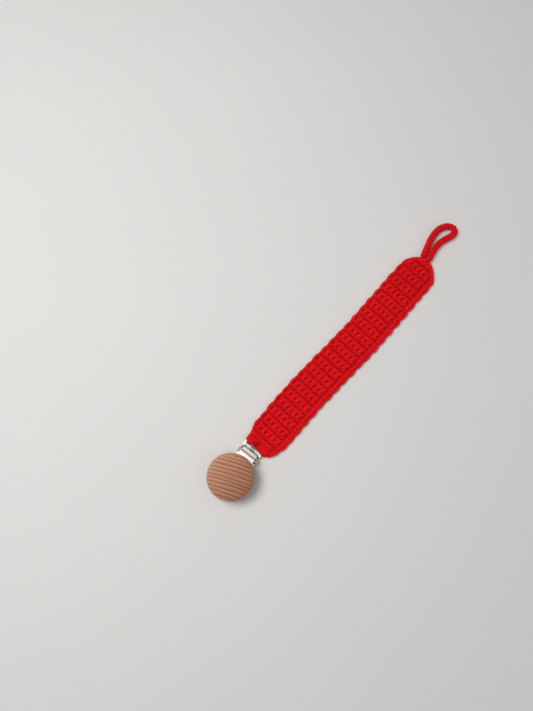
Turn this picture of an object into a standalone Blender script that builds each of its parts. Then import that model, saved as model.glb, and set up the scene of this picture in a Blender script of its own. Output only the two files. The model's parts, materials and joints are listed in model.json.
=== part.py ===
"""Pacifier clip: a round wooden disc on a sprung metal suspender clip, with a crocheted
strap on the clip's bar and a crocheted cord loop at the strap's far end.

Metres, +Z up. The origin is on the floor beneath the disc's centre. +X runs along the clip
from the disc to the strap, and the back plate lies on z = 0.
"""
import bpy
import bmesh
from math import asin, cos, pi, radians, sin, sqrt
from mathutils import Vector

# ---- driving dimensions -------------------------------------------------------------
GAP = 0.0003                    # clearance between neighbouring pieces

# wooden disc
DISC_R = 0.0150
DISC_BOTTOM = 0.0046
DISC_TOP = 0.0126
DISC_TOP_ROUND = 0.0019
DISC_BOTTOM_ROUND = 0.0010
DISC_SIDES = 72

# sheet metal
PLATE_T = 0.0007                # back plate and its frame
JAW_T = 0.0005                  # sprung jaw
LEVER_T = 0.00049               # lever
EDGE_ROUND = 0.00011            # broken edges of the sheet

# back plate
PLATE_START = -0.0115           # jaw end
PLATE_JAW_HALF = 0.0068
PLATE_WAIST_HALF = 0.0056
PLATE_EAR_HALF = 0.00725
FRAME_HALF = 0.00745            # strap frame, outside
FRAME_INNER_HALF = 0.00575      # strap frame, inside
RAMP_START = 0.0186             # the frame's arms step up between these
RAMP_END = 0.0206
FRAME_Z = 0.0020                # mid-height of the frame's bars
INNER_BAR = (0.02175, 0.02260)  # near and far side of the jaw's bar
STRAP_BAR = (0.02455, 0.02545)  # near and far side of the strap's bar
FIRST_WINDOW_X = 0.0189

# ears and pivot pin
PIN_X = 0.0169
PIN_Z = 0.0043
PIN_R = 0.00050
PIN_HOLE_R = 0.00056
PIN_HEAD_R = 0.00095
PIN_HEAD_T = 0.00045
EAR_INNER = 0.0065
EAR_OUTER = 0.0072
EAR_TOP_R = 0.00165
EAR_FOOT_HALF = 0.0019

# lever
LEVER_Z = 0.005175              # mid-plane of the lever's sheet
LEVER_ROUND_R = 0.0100          # round end under the disc
LEVER_NECK_HALF = 0.0057
KNUCKLE_R = 0.00115
KNUCKLE_BORE_R = 0.00060
KNUCKLE_HALF = 0.0056
CAM_DROP = 0.0014               # from the pin to the cam nose's centre
CAM_NOSE_R = 0.0005

# jaw
JAW_REAR_Z = 0.0018             # mid-plane between the ears
JAW_FRONT_Z = 0.00315           # mid-plane under the disc
JAW_REAR_X = 0.0205             # where the full width ends
JAW_HALF = 0.00535
JAW_WAIST_HALF = 0.0048
JAW_TIP_HALF = 0.0060
JAW_TONGUE_HALF = 0.0014
JAW_CURL_R = 0.00085            # mid-radius of the curl round its bar
JAW_TIP_X = -0.0086             # where the lip starts to turn down
JAW_LIP_R = 0.0007
JAW_TEETH = 8
JAW_TOOTH_DEPTH = 0.00035

# ridged pad under the jaw's teeth
PAD_X = (-0.0109, -0.0061)
PAD_HALF = 0.0059
PAD_BASE_Z = PLATE_T + GAP
PAD_VALLEY_Z = 0.00155
PAD_RIDGE_Z = 0.00190
PAD_RIDGES = 6

# strap
STRAP_T = 0.0030
STRAP_HALF = 0.0134
STRAP_YAW = radians(-5.38)
STRAP_START = 0.0026            # all distances along the strap are from its bar
STRAP_FOLD = 0.0880
STRAP_END = 0.1720
STRAP_SIDE_SHIFT = -0.0021      # the strap's middle lies to the -Y side of the clip's
FOLD_CLEAR = 0.0018
WRAP_OUTER_R = 0.0019
WRAP_INNER_R = 0.0009
WRAP_Y = (0.0019, 0.0054)
NECK_X = (0.0262, 0.0290)       # joins each wrap to the strap
NECK_Z = (0.0008, 0.0028)

# cord loop
CORD_D = 0.0044
CORD_ROUTE = (
    (0.1972, -0.0127), (0.2005, -0.0125), (0.2067, -0.0112), (0.2123, -0.0100), (0.2188, -0.0098),
    (0.2240, -0.0113), (0.2275, -0.0144), (0.2282, -0.0181), (0.2260, -0.0205), (0.2221, -0.0200),
    (0.2176, -0.0180), (0.2128, -0.0165), (0.2075, -0.0163), (0.2024, -0.0169), (0.1992, -0.0174),
    (0.1968, -0.0175))
CORD_STEP = 0.0105              # spacing of the tube's points

BAR_X = sum(STRAP_BAR) / 2
INNER_BAR_X = sum(INNER_BAR) / 2

for item in list(bpy.data.objects):
    bpy.data.objects.remove(item, do_unlink=True)


# ---- materials ----------------------------------------------------------------------
def material(name, colour, roughness, metallic=0.0):
    made = bpy.data.materials.new(name)
    made.use_nodes = True
    shader = made.node_tree.nodes["Principled BSDF"]
    shader.inputs["Base Color"].default_value = (*colour, 1.0)
    shader.inputs["Roughness"].default_value = roughness
    shader.inputs["Metallic"].default_value = metallic
    return made


NICKEL = material("nickel_plated_steel", (0.72, 0.70, 0.66), 0.22, 1.0)
SATIN = material("satin_nickel", (0.60, 0.58, 0.54), 0.38, 1.0)
PIN_METAL = material("rivet_steel", (0.66, 0.64, 0.60), 0.28, 1.0)
LEVER_METAL = material("lever_nickel", (0.74, 0.72, 0.68), 0.18, 1.0)
PAD_PLASTIC = material("pad_plastic", (0.85, 0.83, 0.78), 0.45)
BEECH = material("beech_wood", (0.52, 0.33, 0.23), 0.55)
YARN_NEAR = material("red_yarn_near", (0.58, 0.008, 0.020), 0.85)
YARN_FAR = material("red_yarn_far", (0.58, 0.008, 0.020), 0.85)
YARN_LOOP = material("red_yarn_loop", (0.60, 0.010, 0.022), 0.85)


# ---- mesh helpers -------------------------------------------------------------------
def smooth_step(value):
    value = min(max(value, 0.0), 1.0)
    return value * value * (3.0 - 2.0 * value)


def finish_mesh(mesh, sharp_degrees):
    """Make the faces point out and shade the round stretches smooth."""
    work = bmesh.new()
    work.from_mesh(mesh)
    bmesh.ops.remove_doubles(work, verts=work.verts, dist=1e-7)
    bmesh.ops.recalc_face_normals(work, faces=work.faces)
    work.to_mesh(mesh)
    work.free()
    mesh.shade_smooth()
    mesh.set_sharp_from_angle(angle=radians(sharp_degrees))


def new_object(name, points, faces, slot=None, origin=(0.0, 0.0, 0.0), sharp_degrees=35.0):
    origin = Vector(origin)
    mesh = bpy.data.meshes.new(name)
    mesh.from_pydata([tuple(Vector(point) - origin) for point in points], [], faces)
    finish_mesh(mesh, sharp_degrees)
    made = bpy.data.objects.new(name, mesh)
    made.location = origin
    bpy.context.scene.collection.objects.link(made)
    if slot:
        mesh.materials.append(slot)
    bpy.context.view_layer.update()
    return made


def combine(target, other, operation):
    """Cut or join target with other, keep the result in target and drop other."""
    modifier = target.modifiers.new(operation.lower(), "BOOLEAN")
    modifier.operation = operation
    modifier.solver = "EXACT"
    modifier.object = other
    bpy.context.view_layer.update()
    graph = bpy.context.evaluated_depsgraph_get()
    result = bpy.data.meshes.new_from_object(target.evaluated_get(graph))
    target.modifiers.clear()
    target.data = result
    bpy.data.objects.remove(other, do_unlink=True)
    result.name = target.name


def break_edges(target, width=EDGE_ROUND, segments=2):
    modifier = target.modifiers.new("broken edges", "BEVEL")
    modifier.width = width
    modifier.segments = segments
    modifier.limit_method = "ANGLE"
    modifier.angle_limit = radians(50)
    modifier.harden_normals = False


def attach(child, parent):
    bpy.context.view_layer.update()
    child.parent = parent
    child.matrix_parent_inverse = parent.matrix_world.inverted()


def sheet_strip(stations, thickness):
    """A strip of sheet along stations of (x, z, half width), as points and faces."""
    count = len(stations)
    points = []
    for index, (x, z, half) in enumerate(stations):
        before = stations[max(index - 1, 0)]
        after = stations[min(index + 1, count - 1)]
        run, rise = after[0] - before[0], after[1] - before[1]
        size = sqrt(run * run + rise * rise)
        lift = Vector((-rise / size, 0.0, run / size)) * (thickness / 2)
        middle = Vector((x, 0.0, z))
        side = Vector((0.0, half, 0.0))
        points += [middle + side + lift, middle - side + lift, middle - side - lift, middle + side - lift]
    faces = [(0, 1, 2, 3)]
    for index in range(count - 1):
        for corner in range(4):
            here, there = index * 4 + corner, index * 4 + (corner + 1) % 4
            faces.append((here, there, there + 4, here + 4))
    last = (count - 1) * 4
    faces.append((last + 3, last + 2, last + 1, last))
    return points, faces


def prism_y(outline, low, high):
    """Extrude an outline of (x, z) points from y = low to y = high."""
    count = len(outline)
    points = [(x, low, z) for x, z in outline] + [(x, high, z) for x, z in outline]
    faces = [tuple(range(count)), tuple(range(2 * count - 1, count - 1, -1))]
    for index in range(count):
        following = (index + 1) % count
        faces.append((index, following, following + count, index + count))
    return points, faces


def prism_z(outline, low, high):
    """Extrude an outline of (x, y) points from z = low to z = high."""
    points, faces = prism_y(outline, low, high)
    return [(x, y, z) for x, z, y in points], faces


def arc(centre, radius, start_degrees, end_degrees, steps):
    angles = [radians(start_degrees + (end_degrees - start_degrees) * i / steps) for i in range(steps + 1)]
    return [(centre[0] + radius * cos(a), centre[1] + radius * sin(a)) for a in angles]


def rounded_box(x_range, half, radius, steps=4):
    """Outline of a rectangle in plan, from x_range[0] to x_range[1] and y = -half to half."""
    low, high = x_range[0] + radius, x_range[1] - radius
    side = half - radius
    return (arc((high, -side), radius, -90, 0, steps) + arc((high, side), radius, 0, 90, steps)
            + arc((low, side), radius, 90, 180, steps) + arc((low, -side), radius, 180, 270, steps))


def spread(start, end, count):
    return [start + (end - start) * i / (count - 1) for i in range(count)]


def corner_cut(distance, radius):
    """How much narrower a strip with round corners is, at a distance from its end."""
    if distance >= radius:
        return 0.0
    return radius - sqrt(radius * radius - (radius - distance) ** 2)


# ---- clip: back plate with ears and strap frame ---------------------------------------
def plate_height(x):
    rise = smooth_step((x - RAMP_START) / (RAMP_END - RAMP_START))
    return PLATE_T / 2 + (FRAME_Z - PLATE_T / 2) * rise


def plate_half_width(x):
    half = PLATE_JAW_HALF + (PLATE_WAIST_HALF - PLATE_JAW_HALF) * smooth_step((x + 0.0050) / 0.0060)
    half += (PLATE_EAR_HALF - PLATE_WAIST_HALF) * smooth_step((x - 0.0118) / 0.0026)
    half += (FRAME_HALF - PLATE_EAR_HALF) * smooth_step((x - 0.0190) / 0.0014)
    half -= corner_cut(x - PLATE_START, 0.0016)
    half -= corner_cut(STRAP_BAR[1] - x, 0.0011)
    return half


def make_back_plate():
    ends = [PLATE_START + d for d in (0.0, 0.00008, 0.0003, 0.0007, 0.0011, 0.0016)]
    ends += [STRAP_BAR[1] - d for d in (0.0, 0.00006, 0.0002, 0.00045, 0.00075, 0.0011)]
    xs = sorted(ends + spread(-0.0052, 0.0012, 6) + spread(0.0116, 0.0146, 6)
                + spread(RAMP_START, RAMP_END, 9) + [0.0214])
    points, faces = sheet_strip([(x, plate_height(x), plate_half_width(x)) for x in xs], PLATE_T)
    plate = new_object("back_plate", points, faces, NICKEL)
    ear_outline = [(PIN_X - EAR_FOOT_HALF, 0.0001), (PIN_X + EAR_FOOT_HALF, 0.0001)]
    ear_outline += arc((PIN_X, PIN_Z), EAR_TOP_R, 0, 180, 16)
    for side in (-1, 1):
        near, far = sorted((side * EAR_INNER, side * EAR_OUTER))
        combine(plate, new_object("ear", *prism_y(ear_outline, near, far)), "UNION")
    pin_hole = prism_y(arc((PIN_X, PIN_Z), PIN_HOLE_R, 0, 345, 23), -0.009, 0.009)
    combine(plate, new_object("pin hole", *pin_hole), "DIFFERENCE")
    for window in ((FIRST_WINDOW_X, INNER_BAR[0]), (INNER_BAR[1], STRAP_BAR[0])):
        outline = rounded_box(window, FRAME_INNER_HALF, 0.0005)
        combine(plate, new_object("window", *prism_z(outline, -0.001, 0.004)), "DIFFERENCE")
    break_edges(plate)
    return plate


def make_jaw_pad():
    pitch = (PAD_X[1] - PAD_X[0]) / PAD_RIDGES
    outline = [(PAD_X[1], PAD_BASE_Z), (PAD_X[1], PAD_VALLEY_Z)]
    for index in range(PAD_RIDGES):
        right = PAD_X[1] - index * pitch
        outline += [(right - 0.35 * pitch, PAD_RIDGE_Z), (right - 0.65 * pitch, PAD_RIDGE_Z)]
        outline.append((right - pitch, PAD_VALLEY_Z))
    outline.append((PAD_X[0], PAD_BASE_Z))
    pad = new_object("jaw_pad", *prism_y(outline, -PAD_HALF, PAD_HALF), PAD_PLASTIC)
    break_edges(pad, 0.00005, 1)
    return pad


def make_pivot_pin():
    reach = EAR_OUTER + 0.00006
    outside = reach + PIN_HEAD_T
    profile = [(outside, 0.0), (outside, 0.62 * PIN_HEAD_R), (outside - 0.00012, 0.88 * PIN_HEAD_R),
               (outside - 0.00028, PIN_HEAD_R), (reach, PIN_HEAD_R), (reach, PIN_R)]
    profile += [(-y, r) for y, r in reversed(profile)]
    sides = 24
    points = []
    faces = []
    for y, r in profile[1:-1]:
        points += [(PIN_X + r * cos(2 * pi * i / sides), y, PIN_Z + r * sin(2 * pi * i / sides))
                   for i in range(sides)]
    for ring in range(len(profile) - 3):
        for i in range(sides):
            here, there = ring * sides + i, ring * sides + (i + 1) % sides
            faces.append((here, there, there + sides, here + sides))
    faces.append(tuple(range(sides)))
    faces.append(tuple(range(len(points) - 1, len(points) - 1 - sides, -1)))
    return new_object("pivot_pin", points, faces, PIN_METAL, origin=(PIN_X, 0.0, PIN_Z))


# ---- sprung jaw -----------------------------------------------------------------------
def jaw_half_width(x):
    half = JAW_HALF + (JAW_WAIST_HALF - JAW_HALF) * smooth_step((0.0130 - x) / 0.0030)
    return half + (JAW_TIP_HALF - JAW_WAIST_HALF) * smooth_step((-0.0030 - x) / 0.0040)


def make_clamp_jaw():
    tongue = JAW_TONGUE_HALF
    curl = arc((INNER_BAR_X, FRAME_Z), JAW_CURL_R, 112, -90, 20)
    stations = [(x, z, tongue) for x, z in curl]
    low = FRAME_Z - JAW_CURL_R
    for x in spread(0.0217, JAW_REAR_X + 0.0001, 8):
        climb = smooth_step((0.0216 - x) / 0.0016)
        stations.append((x, low + (JAW_REAR_Z - low) * climb, tongue))
    for x in (JAW_REAR_X, 0.0200, 0.0197, 0.0180, 0.0140):
        climb = smooth_step((0.0216 - x) / 0.0016)
        stations.append((x, low + (JAW_REAR_Z - low) * climb, JAW_HALF))
    for x in spread(0.0134, 0.0100, 10):
        rise = smooth_step((0.0134 - x) / 0.0034)
        stations.append((x, JAW_REAR_Z + (JAW_FRONT_Z - JAW_REAR_Z) * rise, jaw_half_width(x)))
    for x in spread(0.0060, -0.0084, 9):
        stations.append((x, JAW_FRONT_Z, jaw_half_width(x)))
    lip = arc((JAW_TIP_X, JAW_FRONT_Z - JAW_LIP_R), JAW_LIP_R, 90, 180, 6)
    stations += [(x, z, JAW_TIP_HALF) for x, z in lip]
    stations.append((lip[-1][0], PAD_RIDGE_Z + GAP, JAW_TIP_HALF))
    points, faces = sheet_strip(stations, JAW_T)
    jaw = new_object("clamp_jaw", points, faces, SATIN, origin=(INNER_BAR_X, 0.0, FRAME_Z))
    combine(jaw, make_tooth_cutter(lip[-1][0]), "DIFFERENCE")
    break_edges(jaw, 0.00009)
    return jaw


def make_tooth_cutter(x):
    """A row of wedges that leaves teeth along the jaw's lip."""
    pitch = 2 * JAW_TIP_HALF / JAW_TEETH
    base = PAD_RIDGE_Z - 0.0002
    root = PAD_RIDGE_Z + GAP + JAW_TOOTH_DEPTH
    points = []
    faces = []
    for index in range(1, JAW_TEETH):
        middle = -JAW_TIP_HALF + index * pitch
        first = len(points)
        for side in (-0.0006, 0.0006):
            points += [(x + side, middle - 0.42 * pitch, base), (x + side, middle + 0.42 * pitch, base),
                       (x + side, middle, root)]
        faces += [(first, first + 2, first + 1), (first + 3, first + 4, first + 5)]
        for a, b in ((0, 1), (1, 2), (2, 0)):
            faces.append((first + a, first + b, first + b + 3, first + a + 3))
    return new_object("tooth cutter", points, faces)


# ---- lever and wooden disc --------------------------------------------------------------
def lever_half_width(x):
    round_end = sqrt(max(LEVER_ROUND_R ** 2 - x * x, 0.0))
    if x < 0.0070:
        return max(round_end, 0.0004)
    flare = smooth_step((x - 0.0070) / 0.0030)
    return max(round_end, sqrt(LEVER_ROUND_R ** 2 - 0.0070 ** 2) * (1 - flare) + LEVER_NECK_HALF * flare)


def cam_outline():
    """Outside of the knuckle: a round barrel with a rounded nose below it."""
    lean = 180 / pi * asin((KNUCKLE_R - CAM_NOSE_R) / CAM_DROP)
    barrel = arc((PIN_X, PIN_Z), KNUCKLE_R, -lean, 180 + lean, 22)
    nose = arc((PIN_X, PIN_Z - CAM_DROP), CAM_NOSE_R, 180 + lean, 360 - lean, 8)
    return barrel + nose


def make_lever():
    round_xs = [LEVER_ROUND_R * cos(pi * (1 - i / 40)) for i in range(0, 31)]
    neck_xs = spread(0.0074, 0.0100, 6) + [0.0130, PIN_X]
    stations = [(x, LEVER_Z, lever_half_width(x)) for x in round_xs + neck_xs]
    points, faces = sheet_strip(stations, LEVER_T)
    lever = new_object("lever", points, faces, LEVER_METAL, origin=(PIN_X, 0.0, PIN_Z))
    knuckle = new_object("knuckle", *prism_y(cam_outline(), -KNUCKLE_HALF, KNUCKLE_HALF))
    combine(lever, knuckle, "UNION")
    bore = prism_y(arc((PIN_X, PIN_Z), KNUCKLE_BORE_R, 0, 345, 23), -0.009, 0.009)
    combine(lever, new_object("pin bore", *bore), "DIFFERENCE")
    break_edges(lever, 0.00009)
    return lever


def disc_profile():
    """(radius, z) from the underside's middle, round the rim, to the top's middle."""
    profile = [(0.0, DISC_BOTTOM)]
    low = (DISC_R - DISC_BOTTOM_ROUND, DISC_BOTTOM + DISC_BOTTOM_ROUND)
    high = (DISC_R - DISC_TOP_ROUND, DISC_TOP - DISC_TOP_ROUND)
    profile += arc(low, DISC_BOTTOM_ROUND, -90, 0, 5)
    profile += arc(high, DISC_TOP_ROUND, 0, 90, 8)
    profile.append((0.0, DISC_TOP))
    return profile


def make_wooden_disc():
    profile = disc_profile()
    rings = profile[1:-1]
    points = []
    faces = []
    for radius, z in rings:
        points += [(radius * cos(2 * pi * i / DISC_SIDES), radius * sin(2 * pi * i / DISC_SIDES), z)
                   for i in range(DISC_SIDES)]
    for ring in range(len(rings) - 1):
        for i in range(DISC_SIDES):
            here, there = ring * DISC_SIDES + i, ring * DISC_SIDES + (i + 1) % DISC_SIDES
            faces.append((here, there, there + DISC_SIDES, here + DISC_SIDES))
    faces.append(tuple(range(DISC_SIDES)))
    faces.append(tuple(range(len(points) - 1, len(points) - 1 - DISC_SIDES, -1)))
    disc = new_object("wooden_disc", points, faces, BEECH)
    recess_top = LEVER_Z + LEVER_T / 2 + GAP
    recess = arc((0.0, 0.0), LEVER_ROUND_R + GAP, 46, 314, 40)
    neck = LEVER_NECK_HALF + GAP
    recess += [(0.0104, -neck), (0.0180, -neck), (0.0180, neck), (0.0104, neck)]
    combine(disc, new_object("recess", *prism_z(recess, 0.003, recess_top)), "DIFFERENCE")
    finish_mesh(disc.data, 35)
    return disc


# ---- strap ------------------------------------------------------------------------------
def strap_point(along, across, z):
    """A point of the strap, from its distance along and across it."""
    return (BAR_X + along * cos(STRAP_YAW) - across * sin(STRAP_YAW),
            along * sin(STRAP_YAW) + across * cos(STRAP_YAW), z)


def strap_half_width(along):
    near = min(max((along - 0.0015) / 0.0140, 0.0), 1.0)
    half = STRAP_HALF - 0.0054 * (1 - near) ** 2.2
    far = min(max((along - 0.1540) / 0.0195, 0.0), 1.0)
    return half * (1 - far ** 4.5)


def strap_middle(along):
    near = min(max(along / 0.0200, 0.0), 1.0)
    return STRAP_SIDE_SHIFT + 0.0011 * (1 - near) ** 2


def strap_solid(distances, half_thickness):
    """A flat strap with round sides through the given distances along it."""
    points = []
    faces = []
    steps = 5
    for along, thin in zip(distances, half_thickness):
        half, middle = strap_half_width(along), strap_middle(along)
        section = arc((half - thin, 0.0), thin, -90, 90, steps)
        section += arc((thin - half, 0.0), thin, 90, 270, steps)
        points += [strap_point(along, middle + w, STRAP_T / 2 + z) for w, z in section]
    count = 2 * (steps + 1)
    for ring in range(len(distances) - 1):
        for i in range(count):
            here, there = ring * count + i, ring * count + (i + 1) % count
            faces.append((here, there, there + count, here + count))
    faces.append(tuple(range(count)))
    faces.append(tuple(range(len(points) - 1, len(points) - 1 - count, -1)))
    return points, faces


def make_strap_near():
    thick = STRAP_T / 2
    taper = [STRAP_START + d for d in (0.0, 0.0015, 0.0035, 0.0060, 0.0090, 0.0130)]
    round_end = [(STRAP_FOLD + thick * sin(radians(a)), max(thick * cos(radians(a)), 0.0001))
                 for a in (0, 25, 45, 62, 78, 90)]
    distances = taper + [0.0300, 0.0580] + [d for d, _ in round_end]
    thickness = [thick] * 8 + [t for _, t in round_end]
    hinge = (BAR_X, 0.0, FRAME_Z)
    strap = new_object("strap_near", *strap_solid(distances, thickness), YARN_NEAR, origin=hinge)
    for side in (-1, 1):
        near, far = sorted((side * WRAP_Y[0], side * WRAP_Y[1]))
        ring = new_object("wrap", *prism_y(arc((BAR_X, FRAME_Z), WRAP_OUTER_R, 0, 345, 23), near, far))
        neck_outline = [(NECK_X[0], NECK_Z[0]), (NECK_X[1], NECK_Z[0]),
                        (NECK_X[1], NECK_Z[1]), (NECK_X[0], NECK_Z[1])]
        neck = prism_y(neck_outline, near + 0.0001, far - 0.0001)
        combine(ring, new_object("neck", *neck), "UNION")
        hollow = prism_y(arc((BAR_X, FRAME_Z), WRAP_INNER_R, 0, 345, 23), near - 0.001, far + 0.001)
        combine(ring, new_object("bar hollow", *hollow), "DIFFERENCE")
        combine(strap, ring, "UNION")
    finish_mesh(strap.data, 40)
    return strap


def make_strap_far():
    thick = STRAP_T / 2
    end = [STRAP_END - d for d in (0.0180, 0.0140, 0.0105, 0.0078, 0.0056, 0.0038, 0.0023, 0.0011, 0.0)]
    distances = [STRAP_FOLD + FOLD_CLEAR, 0.1150, 0.1350] + end
    points, faces = strap_solid(distances, [thick] * len(distances))
    fold = strap_point(STRAP_FOLD, strap_middle(STRAP_FOLD), thick)
    return new_object("strap_far", points, faces, YARN_FAR, origin=fold)


# ---- cord loop ----------------------------------------------------------------------------
def smooth_route(route, per_span=12):
    """Points along a Catmull-Rom curve through the route, which lies at the cord's height."""
    knots = [Vector((x, y, CORD_D / 2)) for x, y in route]
    knots = [2 * knots[0] - knots[1]] + knots + [2 * knots[-1] - knots[-2]]
    fine = []
    for a, b, c, d in zip(knots, knots[1:], knots[2:], knots[3:]):
        for step in range(per_span):
            t = step / per_span
            fine.append(0.5 * (2 * b + (c - a) * t + (2 * a - 5 * b + 4 * c - d) * t * t
                               + (3 * b - a - 3 * c + d) * t ** 3))
    fine.append(knots[-2])
    return fine


def evenly(points, step):
    """Points at about an even step along a fine curve, its ends kept."""
    lengths = [0.0]
    for a, b in zip(points, points[1:]):
        lengths.append(lengths[-1] + (b - a).length)
    count = round(lengths[-1] / step)
    picked = []
    at = 0
    for index in range(count + 1):
        wanted = lengths[-1] * index / count
        while at < len(points) - 2 and lengths[at + 1] < wanted:
            at += 1
        share = (wanted - lengths[at]) / (lengths[at + 1] - lengths[at])
        picked.append(points[at].lerp(points[at + 1], share))
    return picked


def make_cord_loop():
    route = evenly(smooth_route(CORD_ROUTE), CORD_STEP / 3)
    start = route[0]
    curve = bpy.data.curves.new("cord_loop", "CURVE")
    curve.dimensions = "3D"
    curve.bevel_depth = CORD_D / 2
    curve.bevel_resolution = 2
    curve.use_fill_caps = True
    spline = curve.splines.new("POLY")
    spline.points.add(len(route) - 1)
    for target, point in zip(spline.points, route):
        target.co = (*(point - start), 1.0)
    cord = bpy.data.objects.new("cord_loop", curve)
    cord.location = start
    bpy.context.scene.collection.objects.link(cord)
    curve.materials.append(YARN_LOOP)
    return cord


make_back_plate()
make_jaw_pad()
make_pivot_pin()
make_clamp_jaw()
lever_object = make_lever()
attach(make_wooden_disc(), lever_object)
make_strap_near()
strap_far_object = make_strap_far()
attach(make_cord_loop(), strap_far_object)
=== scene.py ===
import json
from math import cos, pi, radians, sin

import bpy
import numpy as np
from mathutils import Matrix, Vector


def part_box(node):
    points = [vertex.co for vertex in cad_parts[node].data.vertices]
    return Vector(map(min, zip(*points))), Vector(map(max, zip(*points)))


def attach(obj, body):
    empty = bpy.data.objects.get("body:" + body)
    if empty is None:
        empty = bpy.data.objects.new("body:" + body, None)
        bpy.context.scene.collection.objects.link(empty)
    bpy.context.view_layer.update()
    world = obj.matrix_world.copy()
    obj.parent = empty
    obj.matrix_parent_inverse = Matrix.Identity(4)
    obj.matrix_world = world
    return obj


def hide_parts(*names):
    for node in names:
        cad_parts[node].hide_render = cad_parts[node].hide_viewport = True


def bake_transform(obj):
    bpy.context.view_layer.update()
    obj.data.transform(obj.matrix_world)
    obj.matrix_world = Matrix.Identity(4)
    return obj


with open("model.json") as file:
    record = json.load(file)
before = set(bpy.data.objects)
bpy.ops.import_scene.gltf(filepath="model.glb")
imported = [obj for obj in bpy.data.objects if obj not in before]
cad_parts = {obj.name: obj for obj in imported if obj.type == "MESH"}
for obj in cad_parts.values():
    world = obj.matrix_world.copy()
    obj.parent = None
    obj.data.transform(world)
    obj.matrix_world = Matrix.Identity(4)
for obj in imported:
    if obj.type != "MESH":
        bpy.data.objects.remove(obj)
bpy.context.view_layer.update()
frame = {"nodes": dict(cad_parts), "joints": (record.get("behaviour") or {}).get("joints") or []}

# ---- places from the frame, in metres --------------------------------------------------
NODES = frame["nodes"]
JOINTS = {joint["name"]: joint for joint in frame["joints"]}
BAR = np.array(JOINTS["strap_swing"]["pos_m"])      # middle of the bar that carries the strap
FOLD_AXIS = np.array(JOINTS["strap_fold"]["axis"])
DISC_LOW, DISC_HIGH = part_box("wooden_disc")

ALONG = np.array([-FOLD_AXIS[1], FOLD_AXIS[0], 0.0])    # the strap's long direction
ACROSS = -FOLD_AXIS                                     # and its width, towards +Y
UP = np.array([0.0, 0.0, 1.0])
RANDOM = np.random.RandomState(11)

# ---- the beech disc, in metres ---------------------------------------------------------
GRAIN_PITCH = 0.0024            # between two dark lines
GRAIN_BOW = 2.2                 # how much the lines bend, per metre
GRAIN_TURN = 69.0               # degrees, about the disc's middle
TOP_ROUND, LOW_ROUND = 0.0020, 0.0010       # its rounded rims
DISC_SIDES = 128
RECESS_R, RECESS_NECK = 0.0103, 0.0060      # the recess below: a round, and half the slot beside it
RECESS_REACH = 0.0180                       # the slot runs out past the rim
RECESS_GAP = 0.0003                         # above the lever

# ---- the strap, in millimetres ---------------------------------------------------------
STRAP_T = 3.0
HALF_WIDTH = 13.3
PAIR = 7.6                      # a pair of rows of single crochet, on which the strands are drawn
STITCH = 3.83                   # one stitch
COLUMNS = 8                     # stitches in a row
PAIRS = 23
STRAP_START, STRAP_END = 2.2, 172.6
FIRST_GROOVE, PAIR_LENGTH, PAIR_GROWTH = -0.10, 7.31, 0.015
NEAR_FROM, NEAR_LENGTH, NEAR_CUT = 1.0, 14.0, 5.2       # how it narrows to the clip
FAR_FROM, FAR_LENGTH, FAR_CUT = 158.0, 14.6, 0.67       # how its far end is rounded
SHADE_FROM, SHADE_LENGTH, END_SHADE = 138.0, 16.0, 0.12     # painted shade: the far end is a little darker
YARN_R = 0.70                   # the yarn that rims the strap's two ends, and one slant
SLANT_R, BRIDGE_R, BAR_R = 0.88, 0.74, 0.64     # the strands of a stitch
SLANT_OVER_R, CORNER_R = 0.72, 0.62     # the slants over the first rows, and over the corners
STRAND_END = 0.62               # a strand thins towards its ends, to this share
UNEVEN = 0.09                   # how far a strand usually strays from its place
CROWN_RISE, CROWN_SPAN = 0.95, 0.55     # above mid-thickness: painted highlight, paler yarn, starts here, and painted shade darkens the yarn below it
EDGE_CHAIN = 2.63               # one link of the chain along the strap's -Y edge
EDGE_CHAIN_INSET, EDGE_CHAIN_SPAN = 2.75, (8.0, 161.0)      # where that chain runs
CORE_HALF, CORE_SWELL = 0.26, 0.12      # half the inner sheet's thickness, and how it swells
CORE_INSET = 1.25               # from the strap's edge

# ---- the yarn itself -------------------------------------------------------------------
PLIES = 3.0
PLY_TURN = 4.4                  # radians for each millimetre along the strand

# ---- the cord loop, in metres ----------------------------------------------------------
CORD_D = 0.0044
CORD_PITCH = 2.20               # one slip stitch, in millimetres, as are the next three
RING_R, LINK_R, CORD_CORE_R = 0.76, 0.56, 1.28
RING_DEPTH = 0.78               # the rings' middle lies this deep in the cord
CORD_TAPER, TAPER_LENGTH = 0.62, 3.5    # thinner where it leaves the strap
SEAM_FROM, SEAM_TURN = -72, 42  # degrees: the seam winds a little round the cord
RING_GAP = 12                   # degrees that a ring leaves open on each side of the seam
CORD_ROUTE = (
    (0.1972, -0.0127), (0.2005, -0.0125), (0.2067, -0.0112), (0.2123, -0.0100), (0.2188, -0.0098),
    (0.2240, -0.0113), (0.2275, -0.0144), (0.2282, -0.0181), (0.2260, -0.0205), (0.2221, -0.0200),
    (0.2176, -0.0180), (0.2128, -0.0165), (0.2075, -0.0163), (0.2024, -0.0169), (0.1992, -0.0174),
    (0.1968, -0.0175))

# ---- camera ----------------------------------------------------------------------------
CAMERA_AT = Vector((0.02626, -0.01575, 0.3545))
CAMERA_LOOKS = Vector((0.1407, 0.1289, -0.9816))
CAMERA_UP = Vector((0.7796, 0.5967, 0.1901))
LENS = 36.05                    # on a 36 mm wide picture
WORLD_STRENGTH = 0.41
FLOOR_HALF, FLOOR_LOW = 3.0, 0.00015    # half its side, and how far it lies under the object


def link(made):
    """Put a new object into the scene."""
    bpy.context.scene.collection.objects.link(made)
    return made


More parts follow.
